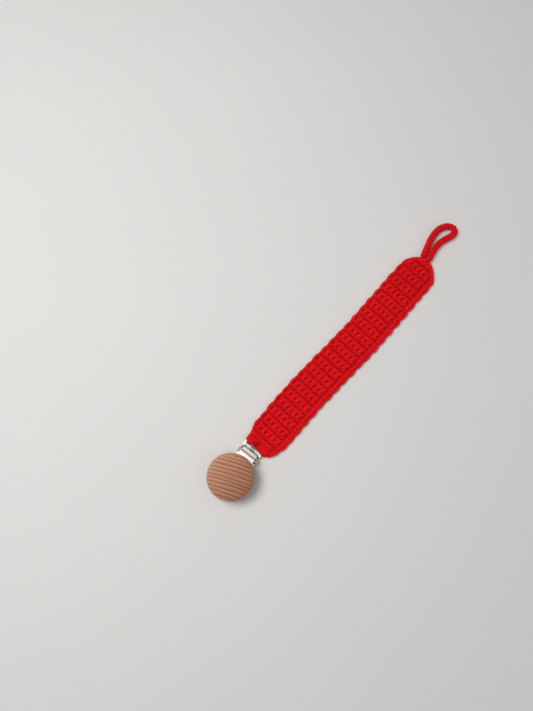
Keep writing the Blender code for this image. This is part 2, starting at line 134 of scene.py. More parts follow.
def make_camera():
    """The photograph's camera, above the near end of the strap."""
    data = bpy.data.cameras.new("camera")
    data.sensor_fit = "HORIZONTAL"
    data.sensor_width = 36.0
    data.lens = LENS
    data.clip_start = 0.01
    camera = link(bpy.data.objects.new("camera", data))
    back = -CAMERA_LOOKS.normalized()
    right = CAMERA_UP.cross(back).normalized()
    upward = back.cross(right)
    turn = Matrix((right, upward, back)).transposed().to_4x4()
    camera.matrix_world = Matrix.Translation(CAMERA_AT) @ turn
    bpy.context.scene.camera = camera


# ---- shader helpers --------------------------------------------------------------------
class Shader:
    """A short way to write a node tree."""

    def __init__(self, name):
        self.material = bpy.data.materials.new(name)
        self.material.use_nodes = True
        self.tree = self.material.node_tree
        self.surface = self.tree.nodes["Principled BSDF"]

    def set(self, **values):
        """Constants on the surface's own sockets."""
        for key, value in values.items():
            self.surface.inputs[key.replace("_", " ")].default_value = value
        return self

    def node(self, kind, settings=None, **inputs):
        made = self.tree.nodes.new(kind)
        for key, value in (settings or {}).items():
            setattr(made, key, value)
        for key, value in inputs.items():
            self.feed(made.inputs[key.replace("_", " ")], value)
        return made

    def feed(self, socket, value):
        if isinstance(value, bpy.types.NodeSocket):
            self.tree.links.new(value, socket)
        else:
            socket.default_value = value

    def math(self, operation, *values, clamp=False):
        """One Math node, its inputs numbers or other nodes' outputs."""
        made = self.tree.nodes.new("ShaderNodeMath")
        made.operation = operation
        made.use_clamp = clamp
        for socket, value in zip(made.inputs, values):
            self.feed(socket, value)
        return made.outputs[0]

    def mapped(self, source, scale=(1, 1, 1), rotation=(0, 0, 0)):
        made = self.node("ShaderNodeMapping", Vector=source)
        made.inputs["Scale"].default_value = scale
        made.inputs["Rotation"].default_value = rotation
        return made.outputs["Vector"]

    def noise(self, vector, scale, detail=2.0, rough=0.5):
        made = self.node("ShaderNodeTexNoise", Vector=vector, Scale=scale, Detail=detail,
                         Roughness=rough)
        return made.outputs["Fac"]

    def ramp(self, factor, *stops):
        made = self.node("ShaderNodeValToRGB", Fac=factor)
        ramp = made.color_ramp
        while len(ramp.elements) < len(stops):
            ramp.elements.new(0.5)
        for element, (place, colour) in zip(ramp.elements, stops):
            element.position = place
            element.color = (*colour, 1.0)
        return made.outputs["Color"]

    def grey_ramp(self, factor, *stops):
        return self.ramp(factor, *[(place, (value, value, value)) for place, value in stops])

    def mix(self, factor, first, second):
        """Two colours mixed, each a tuple or another node's output."""
        made = self.tree.nodes.new("ShaderNodeMix")
        made.data_type = "RGBA"
        self.feed(made.inputs[0], factor)
        for socket, colour in ((6, first), (7, second)):
            self.feed(made.inputs[socket], (*colour, 1.0) if isinstance(colour, tuple) else colour)
        return made.outputs[2]

    def bump(self, height, strength, distance):
        made = self.node("ShaderNodeBump", Height=height, Strength=strength, Distance=distance)
        return made.outputs["Normal"]

    def place(self):
        """The object's own coordinates, in metres."""
        return self.node("ShaderNodeTexCoord").outputs["Object"]

    def attribute(self, name):
        return self.node("ShaderNodeAttribute", {"attribute_name": name})

    def finish(self, **links):
        """Feed the surface and hand back the material."""
        for key, value in links.items():
            self.feed(self.surface.inputs[key.replace("_", " ")], value)
        return self.material


def yarn_material(name, deep, bright):
    """Matt cotton yarn: plies twisted round the strand, loose fibres and uneven dye, plus painted
    light and shade that the strands carry in an attribute.
    """
    shader = Shader(name).set(Metallic=0.0, Specular_IOR_Level=0.08, Sheen_Weight=0.02,
                              Sheen_Roughness=0.40, Sheen_Tint=(1.0, 0.45, 0.42, 1.0))
    strand = shader.attribute("yarn")
    parts = shader.node("ShaderNodeSeparateXYZ", Vector=strand.outputs["Vector"])
    turn = shader.math("ARCTAN2", parts.outputs["Y"], parts.outputs["X"])
    lay = shader.math("SUBTRACT", shader.math("MULTIPLY", turn, PLIES),
                      shader.math("MULTIPLY", parts.outputs["Z"], PLY_TURN))
    ply = shader.math("MULTIPLY_ADD", shader.math("SINE", lay), 0.5, 0.5)
    ply = shader.math("POWER", ply, 0.55)
    place = shader.place()
    fibre = shader.noise(place, 5200.0, 3.0, 0.6)
    patch = shader.noise(place, 260.0, 2.0, 0.5)
    # Per-point tone from the strands: random dye, plus painted light and shade (paler crowns,
    # darker grooves, wraps and inner sheet).
    dye_and_shade = shader.attribute("dye_and_shade").outputs["Fac"]
    tone = shader.math("MULTIPLY_ADD", ply, 0.45, shader.math("MULTIPLY", fibre, 0.30))
    tone = shader.math("ADD", tone, shader.math("MULTIPLY_ADD", patch, 0.30, dye_and_shade), clamp=True)
    colour = shader.mix(tone, deep, bright)
    height = shader.math("MULTIPLY_ADD", fibre, 0.35, ply)
    normal = shader.bump(height, 0.75, 0.00016)
    rough = shader.math("MULTIPLY_ADD", fibre, 0.20, 0.48)
    return shader.finish(Base_Color=colour, Normal=normal, Roughness=rough)


def metal_material(name, tone, rough, grain):
    """Nickel plate: fine drawn lines and faint smears."""
    shader = Shader(name).set(Metallic=1.0)
    place = shader.place()
    lines = shader.noise(shader.mapped(place, (260, 9000, 2600)), 1.0, 3.0, 0.6)
    smear = shader.noise(place, 420.0, 3.0, 0.55)
    colour = shader.mix(smear, tuple(0.93 * t for t in tone), tone)
    roughness = shader.math("MULTIPLY_ADD", smear, 0.14, rough - 0.07)
    normal = shader.bump(shader.math("MULTIPLY_ADD", smear, 0.6, lines), grain, 0.00002)
    return shader.finish(Base_Color=colour, Roughness=roughness, Normal=normal)


def beech_material():
    """Beech: bowed pairs of dark and light grain lines, soft bands, and short dark flecks, with
    painted shade towards -Y and a painted highlight on the rim.
    """
    shader = Shader("beech").set(Metallic=0.0, Specular_IOR_Level=0.35)
    place = shader.place()
    along = shader.mapped(place, rotation=(0.0, 0.0, radians(GRAIN_TURN)))
    warp = shader.noise(shader.mapped(along, (22, 90, 90)), 1.0, 2.0, 0.5)
    parts = shader.node("ShaderNodeSeparateXYZ", Vector=along)
    bow = shader.math("MULTIPLY", parts.outputs["X"], parts.outputs["X"])
    bow = shader.math("MULTIPLY", bow, GRAIN_BOW)
    across = shader.math("ADD", shader.math("MULTIPLY_ADD", warp, 0.0030, parts.outputs["Y"]), bow)
    phase = shader.math("MULTIPLY", across, 2 * pi / GRAIN_PITCH)
    dark_line, light_line = (
        shader.math("POWER", shader.math("MULTIPLY_ADD", shader.math("SINE", turn), 0.5, 0.5), 3.5)
        for turn in (phase, shader.math("ADD", phase, 1.5)))
    lines = shader.math("MULTIPLY_ADD", light_line, -0.28, shader.math("MULTIPLY", dark_line, 0.52))
    uneven = shader.noise(shader.mapped(along, (40, 520, 520)), 1.0, 3.0, 0.6)
    streaks = shader.noise(shader.mapped(along, (160, 5200, 5200)), 1.0, 2.0, 0.6)
    fleck = shader.noise(shader.mapped(along, (620, 5600, 5600)), 1.0, 1.0, 0.4)
    fleck = shader.grey_ramp(fleck, (0.62, 0.0), (0.70, 1.0))
    sides = shader.node("ShaderNodeSeparateXYZ", Vector=place)
    # Painted shade: the wood is painted darker towards -Y, away from the window light.
    painted_shade_slope = shader.math("MULTIPLY", sides.outputs["Y"], -19.0)
    tone = shader.math("MULTIPLY_ADD", uneven, 0.55, shader.math("ADD", lines, painted_shade_slope))
    tone = shader.math("ADD", tone, shader.math("MULTIPLY_ADD", streaks, 0.34, -0.08), clamp=True)
    colour = shader.ramp(tone, (0.0, (0.58, 0.290, 0.178)), (0.5, (0.375, 0.148, 0.078)),
                         (1.0, (0.20, 0.062, 0.026)))
    colour = shader.mix(shader.math("MULTIPLY", fleck, 0.45), colour, (0.19, 0.080, 0.042))
    # Painted highlight: the outer rim of the disc is painted paler.
    squares = [shader.math("POWER", sides.outputs[axis], 2.0) for axis in "XY"]
    out_from_middle = shader.math("SQRT", shader.math("ADD", *squares))
    rim_share = shader.math("MULTIPLY", out_from_middle, 1.0 / DISC_HIGH[0])
    rim = shader.grey_ramp(rim_share, (0.90, 0.0), (0.97, 1.0))
    colour = shader.mix(shader.math("MULTIPLY", rim, 0.34), colour, (0.60, 0.40, 0.28))
    height = shader.math("SUBTRACT", shader.math("MULTIPLY", streaks, 0.6),
                         shader.math("MULTIPLY", fleck, 0.8))
    height = shader.math("SUBTRACT", height, shader.math("MULTIPLY", dark_line, 0.8))
    normal = shader.bump(height, 0.35, 0.00006)
    rough = shader.math("MULTIPLY_ADD", streaks, 0.16, 0.46)
    return shader.finish(Base_Color=colour, Normal=normal, Roughness=rough)


def plastic_material():
    """The pad's ivory plastic, slightly scuffed."""
    shader = Shader("pad_plastic_look").set(Metallic=0.0, Subsurface_Weight=0.1)
    place = shader.place()
    grain = shader.noise(place, 2600.0, 2.0, 0.5)
    scuff = shader.noise(place, 340.0, 3.0, 0.6)
    colour = shader.mix(scuff, (0.76, 0.73, 0.66), (0.86, 0.84, 0.78))
    rough = shader.math("MULTIPLY_ADD", scuff, 0.18, 0.36)
    normal = shader.bump(grain, 0.25, 0.00003)
    return shader.finish(Base_Color=colour, Roughness=rough, Normal=normal)


def floor_material():
    """A plain pale paper floor."""
    shader = Shader("floor_paper").set(Metallic=0.0, Specular_IOR_Level=0.2)
    soft = shader.noise(shader.place(), 9.0, 2.0, 0.5)
    colour = shader.mix(soft, (0.74, 0.735, 0.73), (0.76, 0.755, 0.75))
    return shader.finish(Base_Color=colour, Roughness=0.8)


# ---- strands of yarn -------------------------------------------------------------------
def lengths_along(line):
    """The distance from a line's start to each of its points."""
    steps = np.linalg.norm(np.diff(line, axis=0), axis=1)
    return np.concatenate([[0.0], np.cumsum(steps)])


def smooth_line(knots, step):
    """Points at about an even step along a Catmull-Rom curve through the knots."""
    knots = np.asarray(knots, float)
    padded = np.vstack([2 * knots[0] - knots[1], knots, 2 * knots[-1] - knots[-2]])
    fine = []
    spans = np.linspace(0.0, 1.0, 8, endpoint=False)[:, None]
    for a, b, c, d in zip(padded, padded[1:], padded[2:], padded[3:]):
        fine.append(0.5 * (2 * b + (c - a) * spans + (2 * a - 5 * b + 4 * c - d) * spans ** 2
                           + (3 * b - a - 3 * c + d) * spans ** 3))
    fine = np.vstack(fine + [knots[-1:]])
    lengths = lengths_along(fine)
    count = max(int(round(lengths[-1] / step)), 3)
    wanted = np.linspace(0.0, lengths[-1], count + 1)
    return np.stack([np.interp(wanted, lengths, fine[:, k]) for k in range(3)], axis=1)


class Strands:
    """Collects tubes of yarn, in millimetres of the shared frame, and makes one mesh of them.

    crown is how much paler the yarn is painted where it stands highest, a painted highlight, and
    how much darker where it lies low, painted shade.
    """

    def __init__(self, sides=8, step=0.55, crown_shading=0.0):
        self.sides, self.step, self.crown_shading = sides, step, crown_shading
        self.points, self.quads, self.caps, self.yarn, self.dye_and_shade = [], [], [], [], []
        self.count = 0

    def add(self, knots, radius, shade=0.0):
        """One strand through the knots. radius may be a row of radii, from its start to its end."""
        line = smooth_line(knots, self.step)
        steps = np.diff(line, axis=0)
        lengths = np.linalg.norm(steps, axis=1)
        heading = steps / lengths[:, None]
        tangent = np.vstack([heading[:1], heading[:-1] + heading[1:], heading[-1:]])
        tangent /= np.linalg.norm(tangent, axis=1)[:, None]
        side = np.cross(tangent[0], UP if abs(tangent[0][2]) < 0.9 else ALONG)
        side /= np.linalg.norm(side)
        sides = [side]
        for direction in tangent[1:]:
            side = side - direction * side.dot(direction)
            side = side / np.linalg.norm(side)
            sides.append(side)
        sides = np.array(sides)
        third = np.cross(tangent, sides)
        angles = 2 * pi * np.arange(self.sides) / self.sides
        radius = np.atleast_1d(radius)
        rings = len(line)
        radii = np.interp(np.linspace(0, 1, rings), np.linspace(0, 1, len(radius)), radius)
        radii[[0, -1]] *= 0.6
        ring = (np.cos(angles)[None, :, None] * sides[:, None, :]
                + np.sin(angles)[None, :, None] * third[:, None, :])
        points = line[:, None, :] + ring * radii[:, None, None]
        distance = np.concatenate([[0.0], np.cumsum(lengths)]) + RANDOM.rand() * 9.0
        yarn = np.empty((rings, self.sides, 3))
        yarn[..., 0] = np.cos(angles)[None, :]
        yarn[..., 1] = np.sin(angles)[None, :]
        yarn[..., 2] = distance[:, None]
        base = self.count + np.arange(rings * self.sides).reshape(rings, self.sides)
        following = np.roll(base, -1, axis=1)
        quads = np.stack([base[:-1], following[:-1], following[1:], base[1:]], axis=-1)
        self.quads.append(quads.reshape(-1, 4))
        self.caps += [base[0][::-1], base[-1]]
        self.points.append(points.reshape(-1, 3))
        self.yarn.append(yarn.reshape(-1, 3))
        dye_and_shade = np.full(rings * self.sides, shade + (RANDOM.rand() - 0.5) * 0.16)
        # Painted light and shade: yarn standing high over the mid-thickness is painted paler, yarn
        # near it darker.
        rise = (np.abs(points[..., 2].ravel() - STRAP_T / 2) - CROWN_RISE) / CROWN_SPAN
        self.dye_and_shade.append(dye_and_shade + self.crown_shading * np.clip(rise, -1.0, 1.0))
        self.count += rings * self.sides

    def mesh(self, name):
        points = np.vstack(self.points) * 0.001
        quads = np.vstack(self.quads)
        caps = np.array(self.caps)
        made = bpy.data.meshes.new(name)
        corners = np.concatenate([quads.ravel(), caps.ravel()])
        starts = np.concatenate([np.arange(len(quads)) * 4,
                                 len(quads) * 4 + np.arange(len(caps)) * self.sides])
        made.vertices.add(len(points))
        made.vertices.foreach_set("co", points.ravel())
        made.loops.add(len(corners))
        made.loops.foreach_set("vertex_index", corners.astype(np.int32))
        made.polygons.add(len(starts))
        made.polygons.foreach_set("loop_start", starts.astype(np.int32))
        made.update(calc_edges=True)
        yarn = made.attributes.new("yarn", "FLOAT_VECTOR", "POINT")
        yarn.data.foreach_set("vector", np.vstack(self.yarn).ravel())
        dye_and_shade = made.attributes.new("dye_and_shade", "FLOAT", "POINT")
        dye_and_shade.data.foreach_set("value", np.concatenate(self.dye_and_shade))
        made.shade_smooth()
        return made

    def object(self, name, material):
        made = link(bpy.data.objects.new(name, self.mesh(name)))
        made.data.materials.append(material)
        return made


# ---- the strap's outline ---------------------------------------------------------------
def half_width(s):
    """Half the strap's width, in millimetres, at a distance from its bar."""
    near = np.clip((s - NEAR_FROM) / NEAR_LENGTH, 0.0, 1.0)
    far = np.clip((s - FAR_FROM) / FAR_LENGTH, 0.0, 1.0)
    return (HALF_WIDTH - NEAR_CUT * (1 - near) ** 2.2) * (1 - FAR_CUT * far ** 2.4)


def middle(s):
    """Where the strap's middle lies across, in millimetres: it wanders a little."""
    near = np.clip(s / 6.0, 0.0, 1.0)
    far = np.clip((s - 150.0) / 22.0, 0.0, 1.0)
    wander = 0.6 * np.cos(2 * pi * (s - 48.0) / 106.0)
    return -2.3 + 0.3 * (1 - near) ** 2 + wander * near + 1.1 * far ** 3


def groove(pair):
    """Where a pair of rows starts: the rows grow a little longer towards the far end."""
    return FIRST_GROOVE + PAIR_LENGTH * pair + PAIR_GROWTH * pair * pair


def on_strap(points):
    """(along, across from the middle, height over mid-thickness) to the shared frame, in mm."""
    points = np.asarray(points, float)
    across = points[:, 1] + middle(points[:, 0])
    return (BAR * [1, 1, 0] * 1000 + points[:, :1] * ALONG + across[:, None] * ACROSS
            + (STRAP_T / 2 + points[:, 2:]) * UP)


# Each strand of a pair of rows is (across from the stitch's middle, distance along, height).
LOW_SLANT = ((1.15, 0.52, -0.55), (0.68, 1.10, 0.30), (0.00, 1.68, 0.60),
             (-0.52, 2.08, 0.40), (-0.88, 2.42, -0.35))
HIGH_SLANT = ((1.00, 5.14, -0.35), (0.62, 5.50, 0.52), (-0.05, 5.95, 0.78),
              (-0.70, 6.50, 0.46), (-1.30, 7.12, -0.55))
BRIDGE = ((0.80, 1.50, -0.15), (0.34, 2.80, 0.80), (0.00, 3.75, 1.05),
          (-0.42, 4.75, 0.92), (-1.15, 6.05, 0.00))
# The two strands of each: (across from its own middle, how much higher).
SLANT_PAIR = ((-STITCH / 4, -0.14), (STITCH / 4, 0.10))
BRIDGE_PAIR = ((-0.48, -0.12), (0.48, 0.08))
# Strands that run right across: (distance along, height, how far they rise and fall, how much
# paler; negative is painted shade). The first two lie in the groove and are painted darkest, as its
# shade.
GROUND_BARS = ((-0.44, -0.18, 0.10, -0.30), (0.42, -0.22, 0.10, -0.30),
               (1.62, -0.05, 0.0, -0.05), (6.00, 0.05, 0.0, -0.05))
FIRST_HOLE = -0.66 - 3 * STITCH     # across from the strap's middle
# The lowest and highest that a strand's middle lies, on the top face and on the one below.
TOP_REACH, LOW_REACH = (-0.30, 1.10), (0.12, 0.70)


def stitch_face(strands, face):
    """The strands seen on one face: 1 on top and -1 below, where rows alternate the other way."""
    half = 0 if face > 0 else 0.5
    for pair in range(-1, PAIRS):
        start = groove(pair + half)
        grow = (groove(pair + half + 1) - start) / PAIR
        place = Placer(start, grow, face)
        for column in range(COLUMNS):
            hole = FIRST_HOLE + column * STITCH
            for offset, lift in SLANT_PAIR:
                place.strand(strands, LOW_SLANT, hole + offset, lift, SLANT_R)
                place.strand(strands, HIGH_SLANT, hole + offset, lift, SLANT_R)
            for offset, lift in BRIDGE_PAIR:
                place.strand(strands, BRIDGE, hole + STITCH / 2 + offset, lift, BRIDGE_R)
        for along, height, wave, shade in GROUND_BARS:
            place.bar(strands, along, height, wave, shade)


class Placer:
    """Places the strands of one pair of rows on one face of the strap."""

    def __init__(self, start, grow, face):
        self.start, self.grow, self.face = start, grow, face

    def height(self, value):
        """Kept on this face's side of the strap, so that the holes of the other stay open."""
        low, high = TOP_REACH if self.face > 0 else LOW_REACH
        return self.face * min(max(value, low), high)

    def strand(self, strands, knots, centre, lift, radius):
        """One strand of a stitch, a little uneven, left out where the strap ends."""
        jitter = RANDOM.normal(0, 1, 5)
        placed = []
        for across, along, height in knots:
            s = self.start + self.grow * (along + UNEVEN * jitter[0])
            w = centre + across * (1 + 0.08 * jitter[4]) + UNEVEN * jitter[1]
            limit = float(half_width(s)) - 1.5
            height = self.height(height + lift + UNEVEN * jitter[2])
            placed.append((s, min(max(w, -limit), limit), height))
        middle_knot = placed[len(placed) // 2]
        inside = STRAP_START + 2.2 < middle_knot[0] < STRAP_END - 1.6
        half = half_width(middle_knot[0])
        if inside and 4.1 - half < middle_knot[1] < half - 1.7:
            # Painted light and shade: strands that stand higher are painted paler, lower ones
            # darker.
            shade = 0.30 * (max(height for _, _, height in knots) + lift - 0.80)
            # Painted shade: the far end of the strap is darkened.
            shade -= END_SHADE * min(max((middle_knot[0] - SHADE_FROM) / SHADE_LENGTH, 0.0), 1.0)
            full = radius * (1 + 0.04 * jitter[3])
            thin = STRAND_END * full
            strands.add(on_strap(placed), (thin, full, full, full, thin), shade)

    def bar(self, strands, along, height, wave, shade):
        """One strand across the strap that dips and rises once in each stitch."""
        s = self.start + self.grow * along
        if not STRAP_START + 2.4 < s < STRAP_END - 1.2:
            return
        edge = float(half_width(s)) - 1.3
        count = max(int(round(2 * edge / STITCH * 4)), 8)
        knots = []
        for step in range(count + 1):
            w = edge * (2 * step / count - 1)
            swing = cos(2 * pi * w / STITCH)
            drop = max(0.0, abs(2 * step / count - 1) - 0.93) * 8.0
            knots.append((s + 0.07 * RANDOM.normal(), w,
                          self.height(height - wave * swing + 0.04 * RANDOM.normal() - drop)))
        strands.add(on_strap(knots), BAR_R, shade)


# The turning chain at the end of each pair of rows: (distance along, inwards from the edge,
# height) of one strand.
TURN_TOP = ((0.30, 2.50, 0.05), (1.10, 1.75, 0.55), (2.30, 1.25, 0.80), (3.80, 1.05, 0.86),
            (5.30, 1.30, 0.80), (6.50, 1.85, 0.50), (7.20, 2.60, 0.00))
TURN_SIDE = ((0.20, 1.50, -0.10), (1.30, 0.86, 0.14), (2.60, 0.56, 0.18), (3.80, 0.46, 0.20),
             (5.00, 0.58, 0.18), (6.30, 0.90, 0.12), (7.40, 1.55, -0.10))
TURN_CORNER = ((-1.10, 1.90, 0.20), (-0.40, 1.06, 0.26), (0.40, 1.06, 0.26), (1.10, 1.90, 0.20))
# Which strands a turning chain has: (knots, face, radius).
TURN_STRANDS = ((TURN_TOP, 1, 0.74), (TURN_SIDE, 1, 0.72), (TURN_SIDE, -1, 0.72),
                (TURN_TOP, -1, 0.70), (TURN_CORNER, 1, 0.68), (TURN_CORNER, -1, 0.68))
TURN_SUNK = 0.75                # how far TURN_TOP is sunk below the chain along the -Y edge
# One side of a chain's link: (share of the link, off its middle, how far below its top).
LINK = ((0.08, 0.20, 1.15), (0.30, 0.65, 0.20), (0.52, 0.95, -0.12), (0.74, 0.75, 0.22),
        (0.96, 0.25, 1.15))


def side_edges(strands):
    """The turning chains and stitch sides, which round both edges."""
    for side in (-1, 1):
        for pair in range(PAIRS):
            start = groove(pair)
            grow = (groove(pair + 1) - start) / PAIR
            if not STRAP_START + 1.0 < start + 4.0 < STRAP_END - 4.0:
                continue
            for knots, face, radius in TURN_STRANDS:
                jitter = RANDOM.normal(0, 1, 4)
                sunk = TURN_SUNK if side < 0 and knots is TURN_TOP else 0.0
                placed = []
                for along, inwards, height in knots:
                    s = start + grow * along + 0.22 * jitter[0]
                    inwards = inwards * (1 + 0.10 * jitter[3]) - 0.14 * jitter[1]
                    w = side * (float(half_width(s)) - inwards)
                    placed.append((s, w, face * (height - sunk + 0.05 * jitter[2])))
                strands.add(on_strap(placed), radius)


def chain_line(strands, outline, pitch, radius, spread, lift, shade=0.0):
    """A chain of V-shaped links along an outline of (along, across, height) knots, in mm."""
    line = smooth_line(outline, 0.25)
    lengths = lengths_along(line)

    def at(distance, off, height):
        distance = min(max(distance, 0.0), lengths[-1])
        here, ahead, behind = (
            np.array([np.interp(distance + step, lengths, line[:, k]) for k in range(3)])
            for step in (0.0, 0.4, -0.4))
        heading = (ahead - behind) / np.linalg.norm(ahead - behind)
        sideways = np.array([-heading[1], heading[0], 0.0])
        return here + sideways * off + [0, 0, height]

    for number in range(int(lengths[-1] / pitch)):
        start = number * pitch + 0.1 * RANDOM.normal()
        for side in (-1, 1):
            knots = [at(start + share * pitch, side * off * spread, lift - drop)
                     for share, off, drop in LINK]
            strands.add(on_strap(knots), radius, shade)


def strap_core(material):
    """The body inside the stitches: one closed sheet, a little thinner where the rows meet, in the
    darker red as painted shade seen in the holes and grooves.
    """
    stations = np.concatenate([np.linspace(STRAP_START, 5.6, 6), np.linspace(6.2, 168.0, 260),
                               np.linspace(168.8, STRAP_END - 0.4, 6)])
    columns = 22
    stride = 2 * (columns + 1)
    points = []
    for s in stations:
        half = float(half_width(s)) - CORE_INSET
        for face, shift in ((1, 0.0), (-1, PAIR / 2)):
            phase = ((s - 0.1 + shift) % PAIR) / PAIR
            body = CORE_HALF + CORE_SWELL * sin(pi * phase) ** 0.7
            for column in range(columns + 1):
                share = 2 * column / columns - 1
                points.append((s, share * half, face * body * (1 - abs(share) ** 8 * 0.7)))
    faces = []
    for ring in range(len(stations) - 1):
        top, bottom = ring * stride, ring * stride + columns + 1
        for column in range(columns):
            a, b = top + column, bottom + column
            faces.append((a, a + 1, a + 1 + stride, a + stride))
            faces.append((b + 1, b, b + stride, b + 1 + stride))
        faces.append((bottom, top, top + stride, bottom + stride))
        last_top, last_bottom = top + columns, bottom + columns
        faces.append((last_top, last_bottom, last_bottom + stride, last_top + stride))
    for ring in (0, len(stations) - 1):
        top = [ring * stride + c for c in range(columns + 1)]
        cap = [c + columns + 1 for c in top] + top[::-1]
        faces.append(tuple(cap if ring == 0 else cap[::-1]))
    mesh = bpy.data.meshes.new("strap_core")
    mesh.from_pydata((on_strap(points) * 0.001).tolist(), [], faces)
    mesh.shade_smooth()
    mesh.attributes.new("yarn", "FLOAT_VECTOR", "POINT")
    dye_and_shade = mesh.attributes.new("dye_and_shade", "FLOAT", "POINT")
    # Painted shade: the inner sheet is darkened further.
    dye_and_shade.data.foreach_set("value", np.full(len(points), -0.15))
    core = link(bpy.data.objects.new("strap_core", mesh))
    mesh.materials.append(material)
    return core


# The wraps round the clip's bar: (place on the bar, where its ends lie across, how far it stands
# off the bar, radius, shade), in millimetres. A negative shade is painted shade: the tight middle
# wraps are painted dark as the shadowed notch.
WRAPS = ((-4.95, -10.6, 1.42, 0.66, 0.0), (-3.66, -7.9, 1.46, 0.68, 0.0),
         (-2.38, -5.4, 1.30, 0.62, 0.0), (-1.30, -3.3, 0.92, 0.47, -0.45),
         (-0.44, -2.0, 0.88, 0.47, -0.55), (0.42, -0.8, 0.88, 0.47, -0.55),
         (1.30, 0.6, 0.92, 0.47, -0.45), (2.42, 2.6, 1.24, 0.60, -0.10),
         (3.68, 4.7, 1.40, 0.66, 0.0), (4.92, 6.8, 1.40, 0.64, 0.0))
# How a wrap spreads on the strap: (distance along, share of the way across, height).
FLARE = ((5.4, 1.03, 0.20), (4.2, 1.0, 0.62), (2.6, 0.80, 0.80))
ROUND_BAR = (58, 90, 125, 160, 195, 230, 265, 302)      # degrees
# Slanted strands on the first rows: (distance along, across from the bar's middle, height).
LONG_SLANT = ((-1.9, 5.7, 1.05), (-0.6, 5.0, 1.75), (0.6, 3.9, 1.85), (1.9, 2.2, 1.60),
              (3.2, 0.3, 1.20), (4.4, -1.4, 0.80))
SHORT_SLANT = ((0.0, 0.0, 0.70), (0.7, -0.7, 1.35), (2.0, -1.8, 1.30), (3.4, -3.0, 1.10),
               (4.7, -4.2, 0.75))
# The strands that rim the strap beside the clip: (distance along, across).
NEAR_RIMS = (((1.6, 0.2), (0.9, 3.2), (0.7, 6.2), (1.9, 8.4), (3.6, 9.7), (6.0, 10.9)),
             ((1.6, -0.4), (0.6, -3.6), (-0.6, -6.9), (0.6, -9.0), (2.6, -10.0), (5.6, -11.2)),
             ((4.2, 2.0), (3.0, 5.2), (2.9, 7.8), (4.8, 9.6), (7.4, 10.9)),
             ((4.0, -2.0), (2.6, -5.6), (2.0, -8.0), (4.0, -9.8), (7.4, -11.6)))
# The yarn over the frame's two corners, in the shared frame's millimetres.
CORNER_ROWS = (
    ((28.6, -6.6, 2.3), (26.6, -6.3, 3.05), (24.9, -5.9, 3.25), (23.7, -5.7, 3.05),
     (23.2, -5.5, 2.5)),
    ((29.0, -8.0, 2.2), (26.9, -7.5, 3.05), (24.8, -6.8, 3.30), (23.1, -6.4, 3.25),
     (22.5, -6.0, 2.95)),
    ((29.2, -9.6, 2.0), (27.2, -9.0, 2.85), (25.0, -8.0, 3.20), (23.2, -7.4, 3.25),
     (22.2, -7.0, 3.00)),
    ((29.0, -11.2, 1.8), (27.0, -10.2, 2.5), (25.0, -9.0, 2.75), (23.3, -8.3, 2.60),
     (22.3, -8.15, 2.10)),
    ((29.2, 5.8, 2.3), (27.4, 6.0, 2.95), (26.0, 6.1, 3.15), (24.9, 6.0, 3.15),
     (24.3, 5.6, 2.85)),
    ((29.4, 7.0, 2.0), (27.6, 7.0, 2.60), (26.1, 7.0, 2.85), (25.1, 6.9, 2.80),
     (24.6, 6.6, 2.40)))
# The far end: (inset from the outline, where the strand stops), and the arc that closes it.
FAR_RIMS = ((0.75, 172.5), (2.0, 171.6))
FAR_RIM_FROM = 160.5
FAR_ARC = ((171.4, 5.2), (172.5, 4.0), (173.1, 2.0), (173.2, -0.4), (172.8, -2.6), (171.9, -4.2))
FAR_ARC_INSETS = (0.0, 1.3, 2.6)
TOP_CHAIN = ((164.6, 10.7, 0.0), (167.6, 8.8, 0.0), (169.8, 6.4, 0.1), (170.9, 3.8, 0.3),
             (171.8, 1.7, 0.8), (173.2, 0.8, 1.2), (175.0, 0.8, 1.4))


def bar_strand(y, spread, reach):
    """Knots of one strand from the strap's top, round the bar and back under the strap."""
    bar_x, bar_z = BAR[0] * 1000, BAR[2] * 1000

    def flared(face, rows):
        return [on_strap([(s, spread * share + y * (1 - share) - middle(s), face * height)])[0]
                for s, share, height in rows]

    turned = [np.array([bar_x + reach * cos(radians(angle)), y,
                        bar_z + reach * sin(radians(angle))]) for angle in ROUND_BAR]
    return flared(1, FLARE) + turned + flared(-1, FLARE[::-1])


def wrap_strands(strands):
    """The first stitches, worked round the bar: full at its sides, tight in its middle, where they
    are painted dark as shade.
    """
    for y, spread, reach, radius, shade in WRAPS:
        strands.add(bar_strand(y, spread, reach), radius, shade)
    for number in range(2):
        row = [(s + 1.05 * number, w + 0.95 * number - middle(s), height - 0.12 * number)
               for s, w, height in LONG_SLANT]
        strands.add(on_strap(row), YARN_R)
    for number in range(5):
        s, w = 2.5 - 1.0 * number, -1.7 - 1.25 * number
        row = [(s + ds, w + dw - middle(s + ds), height - 0.07 * number)
               for ds, dw, height in SHORT_SLANT]
        strands.add(on_strap(row), SLANT_OVER_R)


def near_edge(strands):
    """The strands that rim the strap's first row on each side of its middle."""
    for height in (0.45, -0.45):
        for line in NEAR_RIMS:
            strands.add(on_strap([(s, w, height) for s, w in line]), YARN_R)


def corner_strands(strands):
    """The yarn that comes over the frame's two corners, further on the strap's fuller side."""
    for row in CORNER_ROWS:
        strands.add(np.array(row), CORNER_R)


